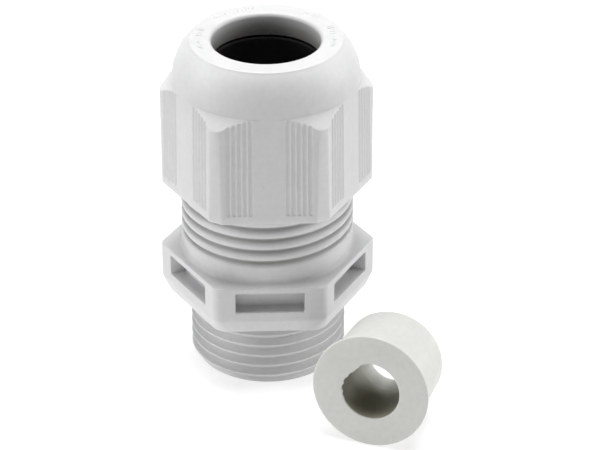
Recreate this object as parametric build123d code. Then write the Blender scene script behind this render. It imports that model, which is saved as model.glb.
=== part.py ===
from build123d import *
import math
import os

os.makedirs("parts", exist_ok=True)

# Plastic cable gland, M20 x 1.5, with a loose reducing insert beside it. All sizes in millimetres.
# The gland's axis is Z, its entry thread ends at Z = 0, and two flats of each hexagon face -Y and +Y.

# Fits and clearances
thread_play = 0.12            # radial play between the two clamping threads
flank_play = 0.09             # play along the axis on each side of a clamping thread's ridge
slide_play = 0.15             # play between the claw and its socket, all round
turn_gap = 0.25               # gap between the nut's cone and the fingers, and over their tips
seat_gap = 0.08               # gap between the rubber seal and the claw that holds it

# How far a cutter reaches past the surface that it opens
past_face = 1.0
past_crest = 0.3
crest_flare = 0.06            # how far past the crest a groove's slanted sides go on
nearly = 0.01                 # two lengths or radii this close are the same one
longest_cut = 1.98            # turns of a thread that one cut may take

# Hexagons
across_flats = 24.0
hex_sides = 6
flat_turn = 360 / hex_sides
front = -90                   # degrees from +X of the flat that faces -Y

# Gland body: entry thread
entry_radius = 10.0
entry_pitch = 1.5
entry_length = 9.0
entry_depth = 0.92
entry_crest = entry_pitch / 8
entry_root = 0.25
entry_chamfer = 0.7
entry_groove_front = 0.73     # height of the lowest whole groove where it faces -Y
entry_wall = 2.08             # wall between the bore and the entry thread's root

# Gland body: flange
flange_height = 6.8
bevel_height = 2.0
bevel_inset = 0.7
bevel_corner = 2.2
flange_corner = 1.3
window_width = 8.65
window_height = 2.75
window_depth = 2.0
window_above_bevel = 1.25
neck_fillet = 0.45
neck_foot = 1.0

# Gland body: neck and clamping thread
nut_wall = 1.0                # from the clamping thread's crest to the hexagon's flats
clamp_length = 15.2           # neck and clamping thread together
clamp_pitch = 1.6
clamp_depth = 0.55
clamp_groove_mouth = 0.84
clamp_groove_floor = 0.28
clamp_groove_rise = 3.02      # lowest groove's centre above the flange's top, where it faces -Y
body_top_chamfer = 0.4
socket_wall = 1.25            # wall between the socket and the clamping thread's root
socket_depth = 11.0
key_count = 6
key_width = 1.4
key_height = 0.7

# Clamping claw
claw_lift = 3.25              # how far the claw stands above its seat at rest
claw_ring_height = 5.0
claw_bore_step = 0.5          # how much wider than the seal's bore the claw's ring is
finger_wall = 1.07
finger_count = 12
finger_slot = 0.7
key_side_play = 0.15

# Rubber seal
seal_wall = 1.2
seal_lip = 0.3

# Cap nut
nut_overlap = 5.9             # how far the nut reaches down over the body at rest
nut_draft = 1.0               # degrees that each flat leans inwards
nut_corner_reach = 1.35       # from the flats' radius out to the cut corners
nut_shoulder_rise = 14.4      # from the nut's bottom to the foot of the dome
nut_shoulder_slope = 45       # degrees
dome_height = 5.3
dome_bulge = 7.0
top_ring_width = 2.65
mouth_step = 0.1              # how much wider than the seal's bore the mouth is
mouth_lip = 3.0
mouth_round = 0.6
nut_thread_length = 9.7
nut_relief = 0.9
nut_relief_step = 0.06        # how much deeper than the thread the relief is
cone_step = 0.35              # how much narrower than the claw the cone's top is
cone_slope = 7.6              # degrees
grip_count = 5
grip_pitch = 0.69
grip_radius = 0.435
grip_depth = 0.12
grip_centre = 3.7             # from the middle of a flat to the middle of a group of grooves
grip_start = 1.4              # plain band below the grooves
nut_lead_in = 0.5

# Reducing insert
insert_flange_radius = 7.45
insert_flange_thickness = 0.5
insert_length = 9.8
insert_front_radius = 6.75
insert_rear_radius = 6.45
insert_bore_radius = 3.75
insert_bore_length = 8.0
insert_throat_radius = 3.07
insert_throat_length = 0.6
insert_offset = (-0.06, 10.98)  # to the flange's centre from the corner of the flats' radii, +X and -Y
insert_heading = 68.6         # degrees from +X towards +Y that its rear end points to

# Sizes that follow from the ones above
apothem = across_flats / 2
bore_radius = entry_radius - entry_depth - entry_wall
flange_bottom = entry_length
flange_top = flange_bottom + flange_height
body_height = flange_top + clamp_length
bore_length = body_height - socket_depth
clamp_radius = apothem - nut_wall
clamp_root_radius = clamp_radius - clamp_depth
socket_radius = clamp_root_radius - socket_wall
claw_radius = socket_radius - slide_play
finger_inner_radius = claw_radius - finger_wall
seal_radius = finger_inner_radius - seat_gap
seal_bore_radius = seal_radius - seal_wall
claw_bore_radius = seal_bore_radius + claw_bore_step
claw_bottom = bore_length + claw_lift
nut_bottom = body_height - nut_overlap
nut_corner_radius = apothem + nut_corner_reach
mouth_radius = seal_bore_radius + mouth_step
dome_rim_radius = mouth_radius + top_ring_width
cone_top_radius = claw_radius - cone_step
insert_place = (apothem + insert_offset[0], -apothem - insert_offset[1])
shoulder_z = nut_bottom + nut_shoulder_rise
nut_top = shoulder_z + dome_height
ceiling_z = nut_top - mouth_lip
dome_radius = apothem - nut_shoulder_rise * math.tan(math.radians(nut_draft))
claw_top = ceiling_z - turn_gap
seal_top = claw_top
nut_minor_radius = clamp_root_radius + thread_play
nut_major_radius = clamp_radius + thread_play
nut_relief_radius = nut_major_radius + nut_relief_step
thread_end_z = nut_bottom + nut_thread_length
relief_end_z = thread_end_z + nut_relief
key_angles = [(index + 0.5) * 360 / key_count for index in range(key_count)]


def turned(points):
    """A solid of revolution about Z from its half outline, given as (radius, height) points."""
    return revolve(Plane.XZ * make_face(Polyline(*points, close=True)), Axis.Z, 360)


def cut_screw(solid, section, path_radius, pitch, start_z, end_z, start_angle):
    """Cuts a right-hand helical groove, in equal lengths, from start_z to end_z.

    The section's points are (radius, height from the groove's centre)."""
    face = Plane.XZ * make_face(Polyline(*section, close=True))
    turns = (end_z - start_z) / pitch
    cuts = math.ceil(turns / longest_cut)
    path = Helix(pitch=pitch, height=turns / cuts * pitch, radius=path_radius)
    cutter = sweep(face, path=path, is_frenet=True)
    for cut in range(cuts):
        done = cut * turns / cuts
        solid -= Pos(0, 0, start_z + done * pitch) * Rot(0, 0, start_angle + done * 360) * cutter
    return solid


def groove_section(crest_radius, floor_radius, mouth_width, floor_width):
    """A V groove from its floor out past its crest, where it goes on with straight sides."""
    outward = math.copysign(1, crest_radius - floor_radius)
    spread = (mouth_width - floor_width) / 2 / abs(crest_radius - floor_radius)
    wide = mouth_width / 2 + spread * crest_flare
    flare_radius = crest_radius + outward * crest_flare
    end_radius = crest_radius + outward * past_crest
    return [
        (floor_radius, -floor_width / 2),
        (flare_radius, -wide),
        (end_radius, -wide),
        (end_radius, wide),
        (flare_radius, wide),
        (floor_radius, floor_width / 2),
    ]


def hexagon(inner_radius, corner):
    """A hexagon with two flats facing -Y and +Y and rounded corners."""
    outline = RegularPolygon(radius=inner_radius, side_count=hex_sides, major_radius=False)
    return fillet(outline.vertices(), corner)


def make_collar():
    """The flange with its bevel and windows, and the foot of the neck that stands on it."""
    lower = Pos(0, 0, flange_bottom) * hexagon(apothem - bevel_inset, bevel_corner)
    upper = Pos(0, 0, flange_bottom + bevel_height) * hexagon(apothem, flange_corner)
    bevel = loft([lower.faces()[0], upper.faces()[0]], ruled=True)
    block = extrude(upper, flange_height - bevel_height)

    window_z = flange_bottom + bevel_height + window_above_bevel + window_height / 2
    window = Pos(0, -apothem, window_z) * Box(window_width, 2 * window_depth, window_height)
    for side in range(hex_sides):
        block -= Rot(0, 0, side * flat_turn) * window

    foot = Pos(0, 0, flange_top + neck_foot / 2) * Cylinder(clamp_radius, neck_foot)
    collar = bevel + block + foot
    corner = [
        edge for edge in collar.edges().filter_by(GeomType.CIRCLE)
        if abs(edge.radius - clamp_radius) < nearly and abs(edge.center().Z - flange_top) < nearly
    ]
    return fillet(corner, neck_fillet)


def make_entry_thread():
    stub_top = flange_bottom + bevel_height
    stub = turned([
        (0, 0),
        (entry_radius - entry_chamfer, 0),
        (entry_radius, entry_chamfer),
        (entry_radius, stub_top),
        (0, stub_top),
    ])
    section = groove_section(
        entry_radius, entry_radius - entry_depth, entry_pitch - entry_crest, entry_root)
    start = entry_groove_front - entry_pitch
    return cut_screw(stub, section, entry_radius, entry_pitch, start, flange_bottom + entry_pitch / 2, front)


def make_clamp_thread():
    foot_z = flange_top + neck_foot
    stub = turned([
        (0, foot_z),
        (clamp_radius, foot_z),
        (clamp_radius, body_height - body_top_chamfer),
        (clamp_radius - body_top_chamfer, body_height),
        (0, body_height),
    ])
    section = groove_section(
        clamp_radius, clamp_root_radius, clamp_groove_mouth, clamp_groove_floor)
    start = flange_top + clamp_groove_rise - clamp_pitch / 2
    end = body_height + clamp_pitch / 2
    return cut_screw(stub, section, clamp_radius, clamp_pitch, start, end, front + 180)


def make_body():
    body = make_collar() + make_entry_thread() + make_clamp_thread()
    body -= turned([
        (0, -past_face),
        (bore_radius, -past_face),
        (bore_radius, bore_length),
        (socket_radius, bore_length),
        (socket_radius, body_height + past_face),
        (0, body_height + past_face),
    ])
    socket_height = body_height - bore_length
    key_root_radius = (socket_radius + clamp_root_radius) / 2
    key_tip_radius = socket_radius - key_height
    key = Box(key_root_radius - key_tip_radius, key_width, socket_height)
    key_place = Pos((key_root_radius + key_tip_radius) / 2, 0, bore_length + socket_height / 2)
    for angle in key_angles:
        body += Rot(0, 0, angle) * key_place * key
    return body


def make_claw():
    cone = math.tan(math.radians(cone_slope))
    cone_foot_z = ceiling_z - (claw_radius + turn_gap - cone_top_radius) / cone
    tip_radius = cone_top_radius - turn_gap / math.cos(math.radians(cone_slope)) + turn_gap * cone
    claw = turned([
        (claw_bore_radius, claw_bottom),
        (claw_radius, claw_bottom),
        (claw_radius, cone_foot_z),
        (tip_radius, claw_top),
        (finger_inner_radius, claw_top),
        (finger_inner_radius, claw_bottom + claw_ring_height),
        (claw_bore_radius, claw_bottom + claw_ring_height),
    ])
    slot_bottom = claw_bottom + claw_ring_height + seat_gap
    slot_height = claw_top - slot_bottom + past_face
    slot = Box(claw_radius, finger_slot, slot_height)
    slot_place = Pos((finger_inner_radius + claw_radius) / 2, 0, slot_bottom + slot_height / 2)
    for index in range(finger_count):
        claw -= Rot(0, 0, index * 360 / finger_count) * slot_place * slot

    keyway_depth = key_height + slide_play
    keyway_height = claw_top - claw_bottom + 2 * past_face
    keyway = Box(2 * keyway_depth, key_width + 2 * key_side_play, keyway_height)
    for angle in key_angles:
        claw -= Rot(0, 0, angle) * Pos(claw_radius, 0, (claw_top + claw_bottom) / 2) * keyway
    return claw


def make_seal():
    bottom = claw_bottom + claw_ring_height
    return turned([
        (seal_bore_radius, bottom),
        (seal_radius, bottom),
        (seal_radius, seal_top),
        (seal_bore_radius + seal_lip, seal_top),
        (seal_bore_radius, seal_top - seal_lip),
    ])


def make_nut():
    top_apothem = apothem - (nut_top - nut_bottom) * math.tan(math.radians(nut_draft))
    low = Pos(0, 0, nut_bottom) * RegularPolygon(radius=apothem, side_count=hex_sides, major_radius=False)
    high = Pos(0, 0, nut_top) * RegularPolygon(radius=top_apothem, side_count=hex_sides, major_radius=False)
    prism = loft([low.faces()[0], high.faces()[0]], ruled=True)

    slope = math.tan(math.radians(nut_shoulder_slope))
    bulge_start = dome_radius - dome_bulge
    rim_angle = math.acos((dome_rim_radius - bulge_start) / dome_bulge)
    dome_centre_z = nut_top - dome_bulge * math.sin(rim_angle)
    middle = rim_angle / 2
    outline = Polyline(
        (0, nut_bottom), (nut_corner_radius, nut_bottom),
        (nut_corner_radius, shoulder_z - (nut_corner_radius - dome_radius) * slope),
        (dome_radius, shoulder_z), (dome_radius, dome_centre_z))
    dome = ThreePointArc(
        (dome_radius, dome_centre_z),
        (bulge_start + dome_bulge * math.cos(middle), dome_centre_z + dome_bulge * math.sin(middle)),
        (dome_rim_radius, nut_top))
    roof = Polyline((dome_rim_radius, nut_top), (0, nut_top), (0, nut_bottom))
    envelope = revolve(Plane.XZ * make_face([outline, dome, roof]), Axis.Z, 360)
    nut = prism & envelope

    lean = math.degrees(math.atan2(apothem - top_apothem, nut_top - nut_bottom))
    grip_height = nut_shoulder_rise - grip_start
    grip = Pos(0, 0, grip_height / 2) * Cylinder(grip_radius, grip_height)
    first = -(grip_count - 1) / 2 * grip_pitch
    start_apothem = apothem - grip_start * math.tan(math.radians(nut_draft))
    grip_y = -(start_apothem + grip_radius - grip_depth)
    cutters = []
    for side in range(hex_sides):
        for group in (-grip_centre, grip_centre):
            for index in range(grip_count):
                place = Pos(group + first + index * grip_pitch, grip_y, nut_bottom + grip_start)
                cutters.append(Rot(0, 0, side * flat_turn) * place * Rot(-lean, 0, 0) * grip)
    nut -= cutters

    cone = math.tan(math.radians(cone_slope))
    cone_foot_radius = cone_top_radius + (ceiling_z - relief_end_z) * cone
    nut -= turned([
        (0, nut_bottom - past_face),
        (nut_major_radius + nut_lead_in, nut_bottom - past_face),
        (nut_major_radius + nut_lead_in, nut_bottom),
        (nut_minor_radius, nut_bottom + nut_lead_in + thread_play),
        (nut_minor_radius, thread_end_z),
        (nut_relief_radius, thread_end_z + nut_relief / 3),
        (nut_relief_radius, relief_end_z - nut_relief / 3),
        (cone_foot_radius, relief_end_z),
        (cone_top_radius, ceiling_z),
        (0, ceiling_z),
    ])
    nut -= Pos(0, 0, nut_top - mouth_lip / 2) * Cylinder(mouth_radius, mouth_lip + 2 * past_face)
    rim = [
        edge for edge in nut.edges().filter_by(GeomType.CIRCLE)
        if abs(edge.radius - mouth_radius) < nearly and abs(edge.center().Z - nut_top) < nearly
    ]
    nut = fillet(rim, mouth_round)

    flank = (clamp_groove_mouth - clamp_groove_floor) / 2 / clamp_depth
    ridge_tip = clamp_groove_floor + 2 * flank * thread_play - 2 * flank_play
    ridge_foot = ridge_tip + 2 * flank * clamp_depth
    section = groove_section(
        nut_minor_radius, nut_major_radius, clamp_pitch - ridge_tip, clamp_pitch - ridge_foot)
    groove_z = flange_top + clamp_groove_rise + clamp_pitch / 2
    whole_turns = math.floor((nut_bottom - clamp_pitch / 2 - groove_z) / clamp_pitch)
    start_z = groove_z + whole_turns * clamp_pitch
    end_z = thread_end_z + nut_relief / 2
    return cut_screw(nut, section, nut_minor_radius, clamp_pitch, start_z, end_z, front)


def make_insert():
    throat_start = insert_length - insert_throat_length
    insert = turned([
        (insert_bore_radius, 0),
        (insert_flange_radius, 0),
        (insert_flange_radius, insert_flange_thickness),
        (insert_front_radius, insert_flange_thickness),
        (insert_rear_radius, insert_length),
        (insert_throat_radius, insert_length),
        (insert_throat_radius, throat_start),
        (insert_bore_radius, insert_bore_length),
    ])
    # It lies on its flange's rim and its rear edge, so its axis dips towards the rear.
    dip = math.atan2(
        insert_flange_radius - insert_rear_radius, insert_length - insert_flange_thickness)
    height = insert_flange_radius * math.cos(dip) + insert_flange_thickness * math.sin(dip)
    lying = Rot(0, 0, insert_heading) * Rot(0, 90 + math.degrees(dip), 0) * insert
    return Pos(insert_place[0], insert_place[1], height) * lying


nodes = {
    "gland_body": make_body,
    "clamping_claw": make_claw,
    "seal_insert": make_seal,
    "cap_nut": make_nut,
    "reducing_insert": make_insert,
}
for name, make in nodes.items():
    piece = make()
    export_step(piece, os.path.join("parts", name + ".step"))
    print(name, round(piece.volume, 1))
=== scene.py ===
import math

import bmesh
import bpy
from mathutils import Matrix, Vector
from mathutils.kdtree import KDTree


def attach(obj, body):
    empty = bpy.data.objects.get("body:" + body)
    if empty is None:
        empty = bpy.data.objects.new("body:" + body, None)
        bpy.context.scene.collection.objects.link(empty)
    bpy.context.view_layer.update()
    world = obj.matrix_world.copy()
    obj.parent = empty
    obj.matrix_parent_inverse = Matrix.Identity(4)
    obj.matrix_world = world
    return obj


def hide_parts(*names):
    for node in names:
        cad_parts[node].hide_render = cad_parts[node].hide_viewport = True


# A plastic cable gland with a loose reducing insert. Shapes are built in millimetres and stored in metres.
mm = 0.001
hair = 1e-5  # two points this near each other are one, in millimetres
fullTurn = 2 * math.pi
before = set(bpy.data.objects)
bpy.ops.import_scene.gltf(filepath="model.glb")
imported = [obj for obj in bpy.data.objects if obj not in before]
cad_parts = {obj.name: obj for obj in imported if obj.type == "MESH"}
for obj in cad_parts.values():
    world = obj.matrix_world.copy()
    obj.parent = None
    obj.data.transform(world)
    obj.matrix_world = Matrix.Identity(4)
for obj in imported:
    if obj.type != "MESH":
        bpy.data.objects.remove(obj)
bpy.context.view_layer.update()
print("stage: frame loaded")


def smoothStep(value):
    value = min(max(value, 0.0), 1.0)
    return value * value * (3 - 2 * value)


def softMin(a, b, blend):
    near = max(blend - abs(a - b), 0.0) / blend
    return min(a, b) - near * near * blend / 4


def arcPoints(centre, radius, startDeg, endDeg, count):
    out = []
    for i in range(count + 1):
        a = math.radians(startDeg + (endDeg - startDeg) * i / count)
        out.append((centre[0] + radius * math.cos(a), centre[1] + radius * math.sin(a)))
    return out


def spunShape(outline, steps):
    # a closed half outline of (radius, height) points, spun about Z
    bm = bmesh.new()
    verts = [bm.verts.new((r, 0, z)) for r, z in outline]
    edges = [bm.edges.new(pair) for pair in zip(verts, verts[1:] + verts[:1])]
    bmesh.ops.spin(bm, geom=verts + edges, cent=(0, 0, 0), axis=(0, 0, 1), dvec=(0, 0, 0),
                   angle=fullTurn, steps=steps, use_merge=True)
    bmesh.ops.recalc_face_normals(bm, faces=bm.faces)
    return bm


def screwRod(pitchOutline, pitch, grooveZ, bottom, top, steps):
    # a threaded rod: one pitch of outline repeated along a chain, then spun with a rise of one pitch;
    # grooveZ is the height of a groove's centre on the +X side
    first = math.floor((bottom - grooveZ) / pitch) - 2
    turns = math.ceil((top - bottom) / pitch) + 4
    bm = bmesh.new()
    chain = []
    for turn in range(turns):
        for r, h in pitchOutline[:-1]:
            chain.append(bm.verts.new((r, 0, grooveZ + (first + turn) * pitch + h)))
    edges = [bm.edges.new(pair) for pair in zip(chain, chain[1:])]
    bmesh.ops.spin(bm, geom=chain + edges, cent=(0, 0, 0), axis=(0, 0, 1), dvec=(0, 0, pitch / steps),
                   angle=fullTurn, steps=steps, use_merge=False)
    bmesh.ops.remove_doubles(bm, verts=bm.verts, dist=10 * hair)
    return bm


def trimmed(bm, bottom, top):
    # cuts a rod flat at both ends and closes it
    for z, up in ((bottom, -1), (top, 1)):
        bmesh.ops.bisect_plane(bm, geom=bm.verts[:] + bm.edges[:] + bm.faces[:], dist=1e-6,
                               plane_co=(0, 0, z), plane_no=(0, 0, up), clear_outer=True)
    rims = [edge for edge in bm.edges if edge.is_boundary]
    bmesh.ops.holes_fill(bm, edges=rims, sides=0)
    bmesh.ops.recalc_face_normals(bm, faces=bm.faces)
    return bm


def asObject(bm, name):
    mesh = bpy.data.meshes.new(name)
    bm.to_mesh(mesh)
    bm.free()
    piece = bpy.data.objects.new(name, mesh)
    bpy.context.scene.collection.objects.link(piece)
    return piece


def combined(base, others, operation):
    # joins or cuts closed shapes and gives back one closed shape
    body = asObject(base, "working")
    tools = [asObject(tool, "tool") for tool in others]
    for tool in tools:
        step = body.modifiers.new("join", "BOOLEAN")
        step.operation = operation
        step.solver = "MANIFOLD"
        step.object = tool
    bpy.context.view_layer.update()
    result = bmesh.new()
    result.from_object(body, bpy.context.evaluated_depsgraph_get())
    for item in [body] + tools:
        mesh = item.data
        bpy.data.objects.remove(item)
        bpy.data.meshes.remove(mesh)
    return result


def setRadius(vert, radius):
    now = math.hypot(vert.co.x, vert.co.y)
    if now > 1e-9:
        vert.co.x *= radius / now
        vert.co.y *= radius / now


def finishPiece(bm, name, body, material, nodes, sharpDeg, shadeOf=None):
    bmesh.ops.remove_doubles(bm, verts=bm.verts, dist=hair)
    # painted shade: how much each point is darkened as if in shadow, read by the material
    layer = bm.verts.layers.float.new("shade")
    for vert in bm.verts:
        vert[layer] = shadeOf(vert.co) if shadeOf else 0.0
    bmesh.ops.scale(bm, vec=(mm, mm, mm), verts=bm.verts)
    for face in bm.faces:
        face.smooth = True
    piece = asObject(bm, name)
    piece.data.set_sharp_from_angle(angle=math.radians(sharpDeg))
    piece.data.materials.append(material)
    weigh = piece.modifiers.new("weightedNormals", "WEIGHTED_NORMAL")
    weigh.keep_sharp = True
    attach(piece, body)
    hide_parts(*nodes)
    print("stage:", name, len(piece.data.polygons), "faces")
    return piece


def link(tree, output, target):
    tree.links.new(output, target)


def colourSocket(sockets, name=None):
    return [socket for socket in sockets if socket.type == "RGBA" and name in (None, socket.name)][0]


def setRange(node, fromMin, fromMax, toMin, toMax):
    ends = {"From Min": fromMin, "From Max": fromMax, "To Min": toMin, "To Max": toMax}
    for end, number in ends.items():
        node.inputs[end].default_value = number


def mouldedPlastic(name, look):
    # moulded plastic: cloudy tint, fine mottling, draw marks, specks, a slightly uneven sheen, and painted
    # shade in hollows
    material = bpy.data.materials.new(name)
    material.use_nodes = True
    tree = material.node_tree
    nodes = tree.nodes
    shader = nodes["Principled BSDF"]
    where = nodes.new("ShaderNodeTexCoord")
    place = nodes.new("ShaderNodeMapping")
    link(tree, where.outputs["Object"], place.inputs["Vector"])

    def noise(scale, detail, vector=None, rough=0.55):
        node = nodes.new("ShaderNodeTexNoise")
        node.inputs["Scale"].default_value = scale
        node.inputs["Detail"].default_value = detail
        node.inputs["Roughness"].default_value = rough
        link(tree, (vector or place).outputs["Vector"], node.inputs["Vector"])
        return node.outputs["Fac"]

    def ranged(value, fromMin, fromMax, toMin, toMax):
        node = nodes.new("ShaderNodeMapRange")
        setRange(node, fromMin, fromMax, toMin, toMax)
        link(tree, value, node.inputs["Value"])
        return node.outputs["Result"]

    def mixed(factor, first, second):
        node = nodes.new("ShaderNodeMix")
        node.data_type = "RGBA"
        link(tree, factor, node.inputs["Factor"])
        for end, colour in (("A", first), ("B", second)):
            socket = colourSocket(node.inputs, end)
            if isinstance(colour, tuple):
                socket.default_value = (*colour, 1)
            else:
                link(tree, colour, socket)
        return colourSocket(node.outputs)

    cloud = ranged(noise(look["cloudScale"], 3), 0.3, 0.7, 0, 1)
    colour = mixed(cloud, look["colour"], look["cloudColour"])
    mottle = ranged(noise(look["mottleScale"], 5, rough=0.6), 0.35, 0.65, 0, look["mottleShare"])
    colour = mixed(mottle, colour, look["mottleColour"])

    stretch = nodes.new("ShaderNodeMapping")
    stretch.inputs["Scale"].default_value = look["drawStretch"]
    link(tree, where.outputs["Object"], stretch.inputs["Vector"])
    streak = noise(look["drawScale"], 2, stretch)
    colour = mixed(ranged(streak, 0.45, 0.75, 0, look["drawShare"]), colour, look["cloudColour"])

    specks = nodes.new("ShaderNodeTexVoronoi")
    specks.inputs["Scale"].default_value = look["speckScale"]
    link(tree, place.outputs["Vector"], specks.inputs["Vector"])
    spot = ranged(specks.outputs["Distance"], look["speckSize"], look["speckSize"] * 0.4, 0, 1)
    few = ranged(noise(look["speckScale"] * 0.31, 1), 0.62, 0.66, 0, look["speckShare"])
    # specks show only in some places
    both = nodes.new("ShaderNodeMath")
    both.operation = "MULTIPLY"
    link(tree, spot, both.inputs[0])
    link(tree, few, both.inputs[1])
    colour = mixed(both.outputs["Value"], colour, look["speckColour"])
    # painted shade: where the shade attribute is set, the colour is darkened and warmed to stand in for
    # shadow in hollows
    paintedShadeNode = nodes.new("ShaderNodeAttribute")
    paintedShadeNode.attribute_name = "shade"
    colour = mixed(paintedShadeNode.outputs["Fac"], colour, look["paintedShadeColour"])
    link(tree, colour, shader.inputs["Base Color"])

    sheen = ranged(noise(look["sheenScale"], 4), 0.3, 0.7, look["roughness"] - look["roughSpread"],
                   look["roughness"] + look["roughSpread"])
    link(tree, sheen, shader.inputs["Roughness"])

    grain = nodes.new("ShaderNodeBump")
    grain.inputs["Strength"].default_value = look["grainStrength"]
    grain.inputs["Distance"].default_value = look["grainDepth"]
    link(tree, noise(look["grainScale"], 4, rough=0.65), grain.inputs["Height"])
    wave = nodes.new("ShaderNodeBump")
    wave.inputs["Strength"].default_value = look["waveStrength"]
    wave.inputs["Distance"].default_value = look["waveDepth"]
    link(tree, noise(look["waveScale"], 2), wave.inputs["Height"])
    link(tree, grain.outputs["Normal"], wave.inputs["Normal"])
    link(tree, wave.outputs["Normal"], shader.inputs["Normal"])

    shader.inputs["Specular IOR Level"].default_value = look["specular"]
    shader.inputs["Subsurface Weight"].default_value = look["subsurface"]
    shader.inputs["Subsurface Scale"].default_value = look["subsurfaceScale"]
    shader.inputs["Subsurface Radius"].default_value = look["subsurfaceRadius"]
    return material


greyLook = {
    "colour": (0.60, 0.602, 0.604), "cloudColour": (0.645, 0.647, 0.648), "cloudScale": 120,
    "mottleColour": (0.55, 0.555, 0.56), "mottleScale": 1400, "mottleShare": 0.35,
    "drawStretch": (1, 1, 0.03), "drawScale": 2600, "drawShare": 0.25,
    "speckScale": 900, "speckSize": 0.10, "speckShare": 0.5, "speckColour": (0.36, 0.35, 0.33),
    "sheenScale": 420, "roughness": 0.46, "roughSpread": 0.07,
    "grainScale": 5200, "grainStrength": 0.35, "grainDepth": 0.00002,
    "waveScale": 260, "waveStrength": 0.25, "waveDepth": 0.0001,
    "specular": 0.42, "subsurface": 0.12, "subsurfaceScale": 0.0008, "subsurfaceRadius": (1.0, 1.0, 1.0),
    # the colour mixed in for painted shade in hollows
    "paintedShadeColour": (0.30, 0.297, 0.285),
}
clawLook = dict(greyLook, colour=(0.54, 0.54, 0.535), cloudColour=(0.58, 0.58, 0.575))
insertLook = dict(
    greyLook, colour=(0.585, 0.588, 0.560), cloudColour=(0.63, 0.632, 0.608),
    mottleColour=(0.53, 0.537, 0.505),
    drawStretch=(0.5, 0.5, 0.5), roughness=0.42, subsurface=0.10, subsurfaceScale=0.0010,
    paintedShadeColour=(0.24, 0.228, 0.160))
rubberLook = dict(
    greyLook, colour=(0.010, 0.010, 0.010), cloudColour=(0.016, 0.015, 0.014),
    mottleColour=(0.022, 0.020, 0.018),
    speckColour=(0.03, 0.027, 0.024), roughness=0.62, specular=0.2, subsurface=0.0,
    paintedShadeColour=(0.004, 0.004, 0.004))

greyNylon = mouldedPlastic("greyNylon", greyLook)
clawNylon = mouldedPlastic("clawNylon", clawLook)
insertPlastic = mouldedPlastic("insertPlastic", insertLook)
blackRubber = mouldedPlastic("blackRubber", rubberLook)
print("stage: materials")


body = {
    "acrossFlats": 24.0, "flangeBottom": 9.0, "bevelTop": 11.0, "flangeTop": 15.8, "bevelInset": 0.7,
    "bevelCorner": 2.2, "flangeCorner": 1.34, "cornerSegments": 8, "edgeRound": 0.2,
    "windowWidth": 8.65, "windowBottom": 12.25, "windowTop": 15.0, "windowDepth": 2.0, "windowRound": 0.2,
    "entryRadius": 10.0, "entryPitch": 1.5, "entryGroove": 0.73, "entryChamfer": 0.7,
    "clampRadius": 11.0, "clampPitch": 1.6, "clampGroove": 18.82, "clampTop": 31.0, "clampChamfer": 0.4,
    "clampRoot": 10.45, "chamferBlend": 0.08, "neckFillet": 0.45,
    # the clamp thread's groove deepens from nothing over these turns, counted from the -X side
    "fadeStart": -0.75, "fadeTurns": 0.16,
    "boreRadius": 7.0, "boreTop": 20.0, "socketRadius": 9.2, "edgeChamfer": 0.3,
    "keyCount": 6, "keyWidth": 1.4, "keyHeight": 0.7,
    "threadSteps": 240, "boreSteps": 120,
    "cornerArea": 20,  # the flange's rounded corners have faces smaller than this, its flats larger
    # strength, start and depth of the painted shade below the clamp thread's crests
    "hollowShade": 0.6, "hollowStart": 0.15, "hollowDepth": 0.4,
}
# half a pitch of each thread, from the groove's centre to the crest: (radius, height)
entryHalf = [(9.08, 0.0), (9.10, 0.10), (9.17, 0.175), (9.88, 0.60), (9.97, 0.655), (10.0, 0.70),
             (10.0, 0.75)]
clampHalf = [(10.39, 0.0), (10.41, 0.09), (10.50, 0.17), (10.66, 0.25), (10.80, 0.33), (10.885, 0.41),
             (10.94, 0.50), (10.975, 0.60), (10.994, 0.70), (11.0, 0.80)]


def wholePitch(half):
    return [(r, -h) for r, h in reversed(half)] + half[1:]


def hexRing(bm, apothem, corner, z, segments):
    # a ring of a hexagon with rounded corners, flats facing -Y and +Y
    made = bmesh.ops.create_circle(bm, segments=6 * (segments + 1), radius=apothem, cap_ends=False)
    reach = (apothem - corner) / math.cos(math.radians(30))
    for i, vert in enumerate(made["verts"]):
        side, step = divmod(i, segments + 1)
        middle = math.radians(60 * side)
        turn = middle + math.radians(-30 + 60 * step / segments)
        vert.co = (reach * math.cos(middle) + corner * math.cos(turn),
                   reach * math.sin(middle) + corner * math.sin(turn), z)
    loop = set(made["verts"])
    return [edge for edge in bm.edges if edge.verts[0] in loop and edge.verts[1] in loop]


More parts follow.
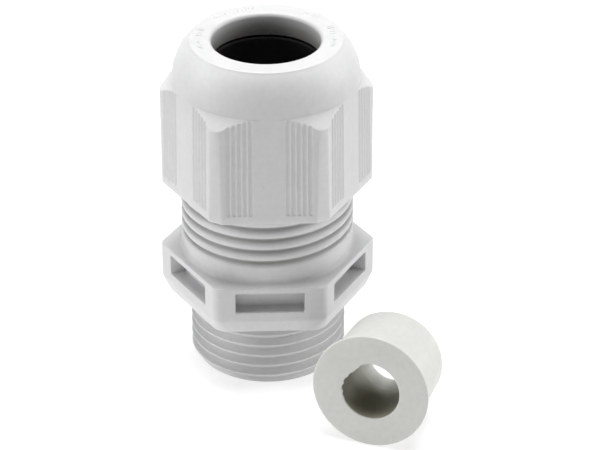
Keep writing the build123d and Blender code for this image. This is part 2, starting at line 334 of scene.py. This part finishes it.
def makeCollar(v):
    bm = bmesh.new()
    apothem = v["acrossFlats"] / 2
    rings = [
        hexRing(bm, apothem - v["bevelInset"], v["bevelCorner"], v["flangeBottom"], v["cornerSegments"]),
        hexRing(bm, apothem, v["flangeCorner"], v["bevelTop"], v["cornerSegments"]),
        hexRing(bm, apothem, v["flangeCorner"], v["flangeTop"], v["cornerSegments"]),
    ]
    for low, high in zip(rings, rings[1:]):
        bmesh.ops.bridge_loops(bm, edges=low + high)
    for ring in (rings[0], rings[-1]):
        bmesh.ops.holes_fill(bm, edges=ring, sides=0)
    bmesh.ops.recalc_face_normals(bm, faces=bm.faces)
    levels = (v["bevelTop"], v["flangeTop"], v["flangeBottom"])
    rims = [edge for edge in bm.edges
            if any(all(abs(vert.co.z - z) < hair for vert in edge.verts) for z in levels)]
    middle = (v["bevelTop"] + v["flangeTop"]) / 2
    walls = [face for face in bm.faces
             if abs(face.calc_center_median().z - middle) < 0.1 and face.calc_area() > v["cornerArea"]]
    windowEdges = []
    for face in walls:
        outward = face.normal.copy()
        along = Vector((-outward.y, outward.x, 0))
        bmesh.ops.inset_individual(bm, faces=[face], thickness=0.5)
        for vert in face.verts:
            side = 1 if vert.co.dot(along) > 0 else -1
            z = v["windowTop"] if vert.co.z > middle else v["windowBottom"]
            vert.co = outward * apothem + along * side * v["windowWidth"] / 2 + Vector((0, 0, z))
        windowEdges += list(face.edges)
        pushed = bmesh.ops.extrude_face_region(bm, geom=[face])
        inner = [g for g in pushed["geom"] if isinstance(g, bmesh.types.BMVert)]
        bmesh.ops.translate(bm, verts=inner, vec=-outward * v["windowDepth"])
        bmesh.ops.delete(bm, geom=[face], context="FACES_ONLY")
        back = [g for g in pushed["geom"] if isinstance(g, bmesh.types.BMFace)][0]
        windowEdges += list(back.edges)
        for edge in bm.edges:
            if (edge.verts[0] in inner) != (edge.verts[1] in inner):
                windowEdges.append(edge)
    bmesh.ops.bevel(bm, geom=rims, offset=v["edgeRound"], offset_type="OFFSET", segments=3, profile=0.5,
                    affect="EDGES", material=-1)
    windowEdges = [edge for edge in set(windowEdges) if edge.is_valid]
    bmesh.ops.bevel(bm, geom=windowEdges, offset=v["windowRound"], offset_type="OFFSET", segments=2,
                    profile=0.5, affect="EDGES", material=-1)
    bmesh.ops.recalc_face_normals(bm, faces=bm.faces)
    return bm


def makeEntryThread(v):
    grooveZ = v["entryGroove"] + v["entryPitch"] / 4
    top = v["bevelTop"]
    bm = screwRod(wholePitch(entryHalf), v["entryPitch"], grooveZ, 0, top, v["threadSteps"])
    trimmed(bm, 0, top)
    for vert in bm.verts:
        if vert.co.z < v["entryChamfer"]:
            limit = v["entryRadius"] - v["entryChamfer"] + vert.co.z
            radius = math.hypot(vert.co.x, vert.co.y)
            setRadius(vert, softMin(radius, limit, v["chamferBlend"]))
    return bm


def makeClampThread(v):
    grooveZ = v["clampGroove"] + v["clampPitch"] / 4
    bottom, top = v["flangeTop"] - 1.0, v["clampTop"]
    bm = screwRod(wholePitch(clampHalf), v["clampPitch"], grooveZ, bottom, top, v["threadSteps"])
    trimmed(bm, bottom, top)
    for vert in bm.verts:
        angle = math.atan2(vert.co.y, vert.co.x) % fullTurn
        radius = math.hypot(vert.co.x, vert.co.y)
        height = vert.co.z - v["clampPitch"] * angle / fullTurn
        turn = round((height - grooveZ) / v["clampPitch"]) + angle / fullTurn
        share = smoothStep((turn - v["fadeStart"]) / v["fadeTurns"])
        radius = v["clampRadius"] - (v["clampRadius"] - radius) * share
        if vert.co.z > top - v["clampChamfer"]:
            limit = v["clampRadius"] - (vert.co.z - top + v["clampChamfer"])
            radius = softMin(radius, limit, v["chamferBlend"])
        setRadius(vert, radius)
    return bm


def makeNeckFillet(v):
    r, f, z = v["clampRadius"], v["neckFillet"], v["flangeTop"]
    outline = [(r - 1.5, z - 0.5), (r + f, z - 0.5)]
    outline += arcPoints((r + f, z + f), f, 270, 180, 8) + [(r - 1.5, z + f)]
    return spunShape(outline, v["threadSteps"])


def makeBore(v):
    # the bore's lower edge and the socket's mouth each have a 45 degree chamfer of their own
    bore, socket, chamfer = v["boreRadius"], v["socketRadius"], v["edgeChamfer"]
    outline = [(0.0, -1), (bore + chamfer + 1, -1), (bore + chamfer, 0), (bore, chamfer),
               (bore, v["boreTop"]), (socket, v["boreTop"]),
               (socket, v["clampTop"] - chamfer), (socket + chamfer + 1, v["clampTop"] + 1),
               (0.0, v["clampTop"] + 1)]
    return spunShape(outline, v["boreSteps"])


def makeKeys(v):
    bm = bmesh.new()
    outer = (v["socketRadius"] + v["clampRoot"]) / 2
    inner = v["socketRadius"] - v["keyHeight"]
    height = v["clampTop"] - v["boreTop"] - 0.4
    for i in range(v["keyCount"]):
        made = bmesh.ops.create_cube(bm, size=1)
        bmesh.ops.scale(bm, vec=(outer - inner, v["keyWidth"], height), verts=made["verts"])
        place = ((outer + inner) / 2, 0, v["boreTop"] + height / 2 - 0.1)
        bmesh.ops.translate(bm, vec=place, verts=made["verts"])
        turn = Matrix.Rotation((i + 0.5) * fullTurn / v["keyCount"], 3, "Z")
        bmesh.ops.rotate(bm, cent=(0, 0, 0), matrix=turn, verts=made["verts"])
    return bm


collar = makeCollar(body)
solid = combined(collar, [makeEntryThread(body), makeClampThread(body), makeNeckFillet(body)], "UNION")
solid = combined(solid, [makeBore(body)], "DIFFERENCE")
solid = combined(solid, [makeKeys(body)], "UNION")


# painted shade: points below the clamp thread's crests darken with depth, the grooves a little and the socket
# inside fully
def bodyShade(co):
    radius = math.hypot(co.x, co.y)
    if body["flangeTop"] + 1 < co.z < body["clampTop"] - 1 and radius < body["clampRadius"]:
        depth = body["clampRadius"] - body["hollowStart"] - radius
        return body["hollowShade"] * smoothStep(depth / body["hollowDepth"])
    return 0.0


finishPiece(solid, "glandBodySkin", "gland", greyNylon, ["gland_body"], 30, bodyShade)


nut = {
    "apothem": 12.0, "draftDeg": 1.0, "bottom": 25.1, "cornerRadius": 13.35, "cornerFlat": 13.315,
    "shoulderTop": 39.5,
    "domeBulge": 7.0, "rimRadius": 9.45, "top": 44.8, "mouthRadius": 6.8, "mouthRound": 0.6,
    "edgeBlend": 0.045, "bottomRound": 0.16,
    "gripCount": 5, "gripPitch": 0.69, "gripRadius": 0.37, "gripDepth": 0.155, "gripCentre": 3.7,
    "gripFoot": 26.5,
    "boreRadius": 10.57, "reliefRadius": 11.12, "threadTop": 34.8, "coneTop": 8.7, "coneFoot": 9.514,
    "threadStart": 24.6, "threadEnd": 35.25, "threadSteps": 160, "ceiling": 41.8,
    # groups of plain index ticks pressed into the top ring
    "tickGroups": (107, 133, 167, 193, 47, 13, -13), "tickPitch": 3.3, "tickHalf": 0.75, "tickDepth": 0.09,
    "tickLong": (7.85, 8.95), "tickShort": (8.15, 8.75), "tickBlur": 0.35, "tickEndBlur": 0.12,
    # painted shade on the mouth's inner wall
    "mouthShade": 0.8, "shadeStart": 0.5, "shadeDepth": 1.6,
}
# half a pitch of the nut's thread, from the groove's centre to the ridge: (radius, height)
nutHalf = [(11.12, 0.0), (11.12, 0.26), (11.06, 0.36), (10.56, 0.68), (10.50, 0.72), (10.50, 0.80)]


def gripCentres(v):
    middle = (v["gripCount"] - 1) / 2
    spots = [v["gripCentre"] + (i - middle) * v["gripPitch"] for i in range(v["gripCount"])]
    return sorted(spots + [-x for x in spots])


def flatColumns(v):
    # where the grid's columns stand along one flat, at its foot: close together at grooves and corners
    spots = set()
    for centre in gripCentres(v):
        for step in range(-4, 5):
            spots.add(round(centre + step * v["gripPitch"] / 8, 4))
    edge = math.sqrt(v["cornerRadius"] ** 2 - v["apothem"] ** 2)
    for step in (-0.30, -0.2, -0.13, -0.08, -0.04, 0.0, 0.04, 0.08, 0.13, 0.2, 0.30):
        spots.update((edge + step, -edge - step))
    half = v["apothem"] * math.tan(math.radians(30))
    spots.update((-half, -half + 0.35, half - 0.35))
    inner = v["gripCentre"] - v["gripCount"] / 2 * v["gripPitch"]
    spots.update(inner * step / 6 for step in range(-5, 6))
    return sorted(spots)


def nutOutline(v):
    lean = math.tan(math.radians(v["draftDeg"]))
    foot = v["apothem"] - (v["shoulderTop"] - v["bottom"]) * lean
    slopeStart = v["shoulderTop"] - (v["cornerRadius"] - foot)
    inset = v["bottomRound"]
    # each row is (radius, height, how far it is set in), and None marks the round parts
    rows = [(v["cornerRadius"], v["bottom"], inset),
            (v["cornerRadius"], v["bottom"] + 0.3 * inset, 0.3 * inset),
            (v["cornerRadius"], v["bottom"] + inset, 0)]
    rows += [(v["cornerRadius"], v["gripFoot"] - v["gripRadius"] * math.cos(math.radians(a)), 0)
             for a in (0, 15, 30, 45, 60, 75, 90)]
    rows += [(v["cornerRadius"], z, 0) for z in (30.0, 34.0, 36.8, 37.3)]
    z = 37.5
    while z < v["shoulderTop"] - 0.04:
        rows.append((v["cornerRadius"] - max(z - slopeStart, 0), z, 0))
        z += 0.09
    rows.append((foot, v["shoulderTop"], 0))
    hub = foot - v["domeBulge"]
    rimDeg = math.degrees(math.acos((v["rimRadius"] - hub) / v["domeBulge"]))
    domeZ = v["top"] - v["domeBulge"] * math.sin(math.radians(rimDeg))
    rows += [(r, z, 0) for r, z in arcPoints((hub, domeZ), v["domeBulge"], 0, rimDeg - 1.6, 22)]
    rows += [(r, z, None) for r, z in ((9.56, 44.735), (9.46, 44.782), (9.33, 44.8))]
    rows += [(9.33 - 0.095 * step, v["top"], None) for step in range(1, 20)]
    ring = v["mouthRadius"] + v["mouthRound"]
    mouth = arcPoints((ring, v["top"] - v["mouthRound"]), v["mouthRound"], 90, 180, 10)
    rows += [(r, z, None) for r, z in mouth]
    rows += [(r, z, None) for r, z in (
        (v["mouthRadius"], 43.0), (v["mouthRadius"], v["ceiling"] + 0.15),
        (v["mouthRadius"] + 0.05, v["ceiling"] + 0.04),
        (v["mouthRadius"] + 0.15, v["ceiling"]), (v["coneTop"], v["ceiling"]), (v["coneFoot"], 35.7),
        (v["reliefRadius"], 35.4), (v["reliefRadius"], 35.1), (v["boreRadius"], v["threadTop"]),
        (v["boreRadius"], 25.72), (11.62, v["bottom"]))]
    return rows


def tickAt(v, radius, angle):
    # how deep the ticks are pressed in at this place on the top ring
    deg = math.degrees(angle)
    for group, centre in enumerate(v["tickGroups"]):
        off = (deg - centre + 180) % 360 - 180
        if abs(off) < 2.5 * v["tickPitch"]:
            number = round(off / v["tickPitch"])
            low, high = v["tickShort"] if (number * number + group) % 3 else v["tickLong"]
            across = smoothStep((v["tickHalf"] - abs(off - number * v["tickPitch"])) / v["tickBlur"])
            along = smoothStep(min(radius - low, high - radius) / v["tickEndBlur"])
            return v["tickDepth"] * across * along
    return 0.0


def makeNut(v):
    columns = flatColumns(v)
    rows = nutOutline(v)
    steps = 6 * len(columns)
    bm = spunShape([(r, z) for r, z, inset in rows], steps)
    angles = []
    for side in range(6):
        for x in columns:
            angles.append(math.radians(-90 + 60 * side) + math.atan2(x, v["apothem"]))
    lean = math.tan(math.radians(v["draftDeg"]))
    centres = gripCentres(v)
    finder = KDTree(len(rows))
    for place, (r, z, inset) in enumerate(rows):
        finder.insert((r, z, 0), place)
    finder.balance()
    for vert in bm.verts:
        radius = math.hypot(vert.co.x, vert.co.y)
        index = round((math.atan2(vert.co.y, vert.co.x) % fullTurn) / fullTurn * steps) % steps
        inset = rows[finder.find((radius, vert.co.z, 0))[1]][2]
        angle = angles[index]
        phi = angle - math.radians(-90 + 60 * (index // len(columns)))
        if inset is not None:
            apothem = v["apothem"] - (vert.co.z - v["bottom"]) * lean
            flat = apothem / math.cos(phi)
            flatX = v["apothem"] * math.tan(phi)
            depth = 0.0
            for centre in centres:
                off = abs(flatX - centre)
                if off < v["gripRadius"]:
                    reach = math.sqrt(v["gripRadius"] ** 2 - off ** 2)
                    below = v["gripFoot"] - vert.co.z
                    if below > 0:
                        reach = math.sqrt(max(v["gripRadius"] ** 2 - off ** 2 - below ** 2, 0))
                    depth = max(depth, reach - (v["gripRadius"] - v["gripDepth"]))
            flat -= depth / math.cos(phi)
            strip = v["cornerFlat"] / math.cos(math.radians(30) - abs(phi))
            radius = softMin(softMin(radius, strip, v["edgeBlend"]), flat, v["edgeBlend"]) - inset
        elif vert.co.z > v["top"] - 0.001:
            vert.co.z -= tickAt(v, radius, angle)
        vert.co.x = radius * math.cos(angle)
        vert.co.y = radius * math.sin(angle)
    bmesh.ops.recalc_face_normals(bm, faces=bm.faces)
    # the nut's groove takes the body's ridge, half a pitch above the body's groove
    pitch = body["clampPitch"]
    grooveZ = body["clampGroove"] + pitch / 2 + pitch / 4
    rod = screwRod(wholePitch(nutHalf), pitch, grooveZ, v["threadStart"], v["threadEnd"], v["threadSteps"])
    trimmed(rod, v["threadStart"], v["threadEnd"])
    return combined(bm, [rod], "DIFFERENCE")


# painted shade: the mouth's inner wall darkens going down from the top ring towards the seal
def nutShade(co):
    radius = math.hypot(co.x, co.y)
    if radius < nut["mouthRadius"] + 0.4 and co.z > nut["ceiling"] - 0.2:
        return nut["mouthShade"] * smoothStep((nut["top"] - nut["shadeStart"] - co.z) / nut["shadeDepth"])
    return 0.0


finishPiece(makeNut(nut), "capNutSkin", "nut", greyNylon, ["cap_nut"], 30, nutShade)


seal = {"bore": 6.7, "outer": 7.9, "bottom": 28.25, "top": 41.55, "lip": 0.3, "steps": 160}
sealOutline = ([(seal["bore"] + 0.25, seal["bottom"]), (seal["outer"] - 0.1, seal["bottom"]),
                (seal["outer"], seal["bottom"] + 0.1), (seal["outer"], seal["top"] - 0.15),
                (seal["outer"] - 0.15, seal["top"])]
               + arcPoints((seal["bore"] + seal["lip"], seal["top"] - seal["lip"]), seal["lip"], 90, 180, 6)
               + [(seal["bore"], 36.0), (seal["bore"], seal["bottom"] + 0.25)])
finishPiece(spunShape(sealOutline, seal["steps"]), "rubberSeal", "carrier", blackRubber,
            ["seal_insert"], 35)


insert = {
    "flangeRadius": 7.45, "flangeThickness": 0.5, "length": 9.8, "frontRadius": 6.75, "rearRadius": 6.45,
    "boreRadius": 3.75, "boreLength": 8.0, "throatRadius": 3.07, "throatStart": 9.2, "rimRound": 0.14,
    "place": (11.94, -22.98), "headingDeg": 68.6, "steps": 220,
    "rearRound": 0.2, "throatRound": 0.1, "rootChamfer": 0.12,
    # ragged flash round one side of the bore's front edge: (degrees round the bore, how far it stands in)
    "flash": ((60, 0), (67, 0.10), (71, 0.03), (79, 0.20), (83, 0.06), (92, 0.13), (97, 0.34),
              (101, 0.20), (109, 0.27), (116, 0.50), (125, 0.44), (134, 0.58), (143, 0.50),
              (152, 0.38), (157, 0.18), (166, 0.08), (174, 0)),
    "flashDepth": 0.22, "flashFade": 0.12,
    # painted shade in the bore
    "boreShade": 0.9, "shadeStart": 0.02, "shadeRise": 0.3, "shadeEnd": 8.6, "shadeFall": 1.6,
}


def flashAt(table, deg):
    for (a, low), (b, high) in zip(table, table[1:]):
        if a <= deg <= b:
            return low + (high - low) * (deg - a) / (b - a)
    return 0.0


def insertPlace(v):
    # it lies on its flange's rim and its rear edge, so its axis dips towards the rear
    dip = math.atan2(v["flangeRadius"] - v["rearRadius"], v["length"] - v["flangeThickness"])
    height = v["flangeRadius"] * math.cos(dip) + v["flangeThickness"] * math.sin(dip)
    return (Matrix.Translation((*v["place"], height)) @ Matrix.Rotation(math.radians(v["headingDeg"]), 4, "Z")
            @ Matrix.Rotation(math.pi / 2 + dip, 4, "Y"))


def makeInsert(v):
    rim = v["rimRound"]
    outline = arcPoints((v["boreRadius"] + rim, rim), rim, 180, 270, 5)
    outline += [(4.6, 0), (5.6, 0), (6.6, 0)]
    outline += arcPoints((v["flangeRadius"] - rim, rim), rim, 270, 360, 5)
    outline += arcPoints((v["flangeRadius"] - rim, v["flangeThickness"] - rim), rim, 0, 90, 5)
    outline += [(v["frontRadius"] + v["rootChamfer"], v["flangeThickness"]),
                (v["frontRadius"], v["flangeThickness"] + v["rootChamfer"])]
    rear, throat = v["rearRound"], v["throatRound"]
    outline += arcPoints((v["rearRadius"] - rear, v["length"] - rear), rear, 0, 90, 5)
    outline += arcPoints((v["throatRadius"] + throat, v["length"] - throat), throat, 90, 180, 3)
    outline += [(v["throatRadius"], v["throatStart"]), (v["boreRadius"] - 0.05, v["boreLength"]),
                (v["boreRadius"], v["boreLength"] - 0.3)]
    outline += [(v["boreRadius"], z) for z in (4.0, 1.2, 0.6, 0.42, 0.32, 0.24)]
    bm = spunShape(outline, v["steps"])
    for vert in bm.verts:
        radius = math.hypot(vert.co.x, vert.co.y)
        if radius < v["boreRadius"] + rim + 0.01 and vert.co.z < 0.6:
            deg = math.degrees(math.atan2(vert.co.y, vert.co.x)) % 360
            share = 1 - smoothStep((vert.co.z - v["flashDepth"]) / v["flashFade"])
            setRadius(vert, radius - flashAt(v["flash"], deg) * share)
    bmesh.ops.transform(bm, matrix=insertPlace(v), verts=bm.verts)
    return bm


# painted shade: the bore darkens just inside its front edge and lightens again towards the rear cone
def insertShade(co):
    local = insertPlace(insert).inverted() @ co
    if math.hypot(local.x, local.y) > insert["boreRadius"] + 0.02:
        return 0.0
    rise = smoothStep((local.z - insert["shadeStart"]) / insert["shadeRise"])
    return insert["boreShade"] * rise * smoothStep((insert["shadeEnd"] - local.z) / insert["shadeFall"])


finishPiece(makeInsert(insert), "reducingBush", "insert", insertPlastic,
            ["reducing_insert"], 35, insertShade)

# the claw is hidden inside, and keeps its CAD shape
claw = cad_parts["clamping_claw"]
claw.data.materials.clear()
claw.data.materials.append(clawNylon)


studio = {
    "floorSize": 3.0, "floorColour": (0.5, 0.5, 0.5), "world": 0.03,
    # the floor shines a little more close to the object, so its shadows stay faint
    "floorGlow": 0.45, "glowNear": 0.62, "glowStart": 0.02, "glowReach": 0.08,
    "middle": (0.0, 0.0, 0.025), "lowMiddle": (0.0, 0.0, 0.015),
    "cameraPlace": (-0.00641, -0.28463, 0.18580), "cameraTurn": (59.481, 0.0, -2.131), "lens": 154.26,
}


def makeFloor(v):
    bm = bmesh.new()
    bmesh.ops.create_grid(bm, x_segments=1, y_segments=1, size=v["floorSize"] / 2)
    floor = asObject(bm, "floor")
    material = bpy.data.materials.new("paleFloor")
    material.use_nodes = True
    shader = material.node_tree.nodes["Principled BSDF"]
    shader.inputs["Base Color"].default_value = (*v["floorColour"], 1)
    shader.inputs["Roughness"].default_value = 0.9
    shader.inputs["Specular IOR Level"].default_value = 0.0
    shader.inputs["Emission Color"].default_value = (1, 1, 1, 1)
    tree = material.node_tree
    where = tree.nodes.new("ShaderNodeTexCoord")
    away = tree.nodes.new("ShaderNodeVectorMath")
    away.operation = "LENGTH"
    glow = tree.nodes.new("ShaderNodeMapRange")
    setRange(glow, v["glowStart"], v["glowReach"], v["glowNear"], v["floorGlow"])
    link(tree, where.outputs["Object"], away.inputs[0])
    link(tree, away.outputs["Value"], glow.inputs["Value"])
    link(tree, glow.outputs["Result"], shader.inputs["Emission Strength"])
    floor.data.materials.append(material)


def areaLight(name, place, aim, size, power):
    lamp = bpy.data.lights.new(name, "AREA")
    lamp.shape = "RECTANGLE"
    lamp.size, lamp.size_y = size
    lamp.energy = power
    holder = bpy.data.objects.new(name, lamp)
    bpy.context.scene.collection.objects.link(holder)
    holder.location = place
    holder.rotation_euler = (Vector(aim) - Vector(place)).to_track_quat("-Z", "Y").to_euler()


makeFloor(studio)
middle = studio["middle"]
areaLight("lampLeft", (-0.48, -0.02, 0.16), middle, (0.3, 0.3), 1.2)
areaLight("lampRight", (0.50, 0.04, 0.16), middle, (0.3, 0.3), 1.3)
areaLight("lampTop", (0.0, 0.12, 0.6), middle, (0.5, 0.5), 5.6)
areaLight("lampFront", (0.0, -0.55, 0.06), studio["lowMiddle"], (0.5, 0.08), 0.42)

world = bpy.data.worlds.new("studioWorld")
bpy.context.scene.world = world
world.use_nodes = True
world.node_tree.nodes["Background"].inputs["Color"].default_value = (1, 1, 1, 1)
world.node_tree.nodes["Background"].inputs["Strength"].default_value = studio["world"]
bpy.context.scene.view_settings.view_transform = "Standard"

camera = bpy.data.objects.new("camera", bpy.data.cameras.new("camera"))
bpy.context.scene.collection.objects.link(camera)
camera.location = studio["cameraPlace"]
camera.rotation_euler = [math.radians(a) for a in studio["cameraTurn"]]
camera.data.lens = studio["lens"]
camera.data.sensor_width = 36
camera.data.clip_start = 0.01
bpy.context.scene.camera = camera
print("stage: studio")
